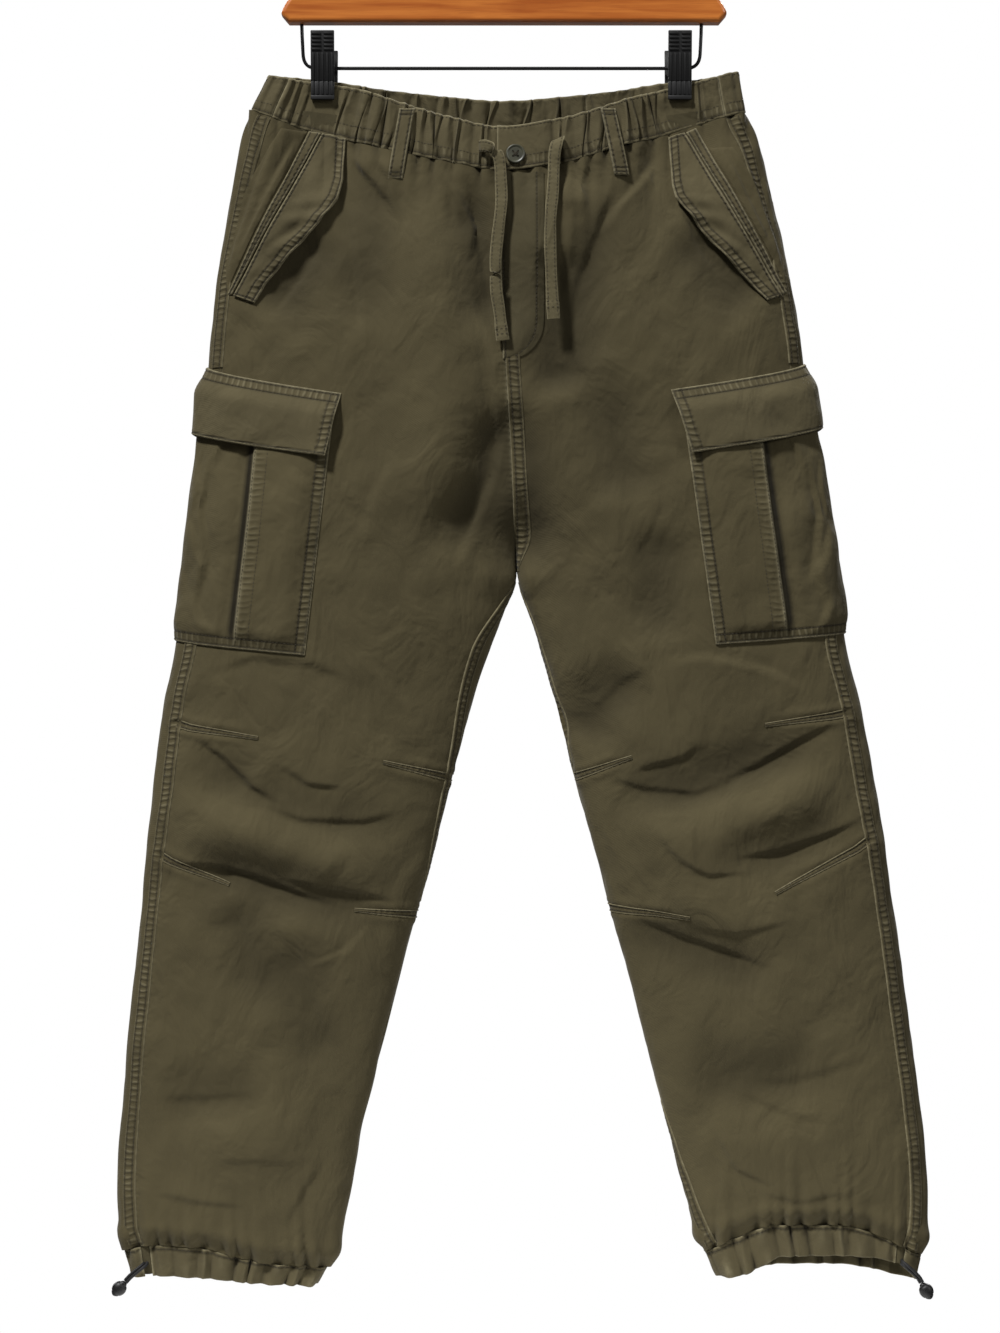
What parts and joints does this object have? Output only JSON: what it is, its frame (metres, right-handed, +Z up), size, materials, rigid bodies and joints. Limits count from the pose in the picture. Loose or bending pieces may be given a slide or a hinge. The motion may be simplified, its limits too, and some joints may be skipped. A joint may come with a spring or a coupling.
{
  "type": "cargo pants on a clip hanger",
  "caption": "Hanging cargo pants with gathered elastic waist, drawstring, flap pockets, darted knees and drawn hems, held by a wooden clip hanger.",
  "frame": {"origin": "where a rail bears inside the top of the hanger's hook", "axes": "+X to the viewer's right as the front is seen, +Y away from the viewer towards the garment's back, +Z up"},
  "size_m": [0.697, 0.0886, 1.2009],
  "materials": {
    "cloth": "matte washed cotton twill",
    "cloth_worn": "matte washed cotton twill, worn lighter at folded edges",
    "tape": "matte stitched cotton tape",
    "button_resin": "satin olive resin",
    "wood": "clear satin varnish",
    "steel": "polished",
    "black_wire": "black satin paint",
    "black_plastic": "black satin moulded plastic"
  },
  "bodies": {
    "root": {"front_panel_left": "cloth", "front_panel_right": "cloth", "back_panel_left": "cloth", "back_panel_right": "cloth", "waistband_left": "cloth_worn", "waistband_right": "cloth_worn", "waistband_back": "cloth_worn", "fly_front": "cloth", "pocket_facing_left": "cloth", "pocket_facing_right": "cloth", "pocket_welt_left": "cloth_worn", "pocket_welt_right": "cloth_worn", "pocket_flap_left": "cloth_worn", "pocket_flap_right": "cloth_worn", "cargo_pocket_left": "cloth", "cargo_pocket_right": "cloth", "cargo_flap_left": "cloth_worn", "cargo_flap_right": "cloth_worn", "belt_loop_front_left": "cloth_worn", "belt_loop_front_right": "cloth_worn", "belt_loop_back_left": "cloth_worn", "belt_loop_back_middle": "cloth_worn", "belt_loop_back_right": "cloth_worn", "button": "button_resin", "drawstring_left": "tape", "drawstring_right": "tape", "hem_casing_left": "cloth_worn", "hem_casing_right": "cloth_worn", "hem_cord_left": "black_plastic", "hem_cord_right": "black_plastic", "cord_lock_left": "black_plastic", "cord_lock_right": "black_plastic", "hanger_bar": "wood", "hanger_hook": "steel", "hanger_wire": "black_wire", "clip_left_jaw_front": "black_plastic", "clip_left_jaw_back": "black_plastic", "clip_left_spring": "steel", "clip_right_jaw_front": "black_plastic", "clip_right_jaw_back": "black_plastic", "clip_right_spring": "steel"}
  },
  "joints": []
}
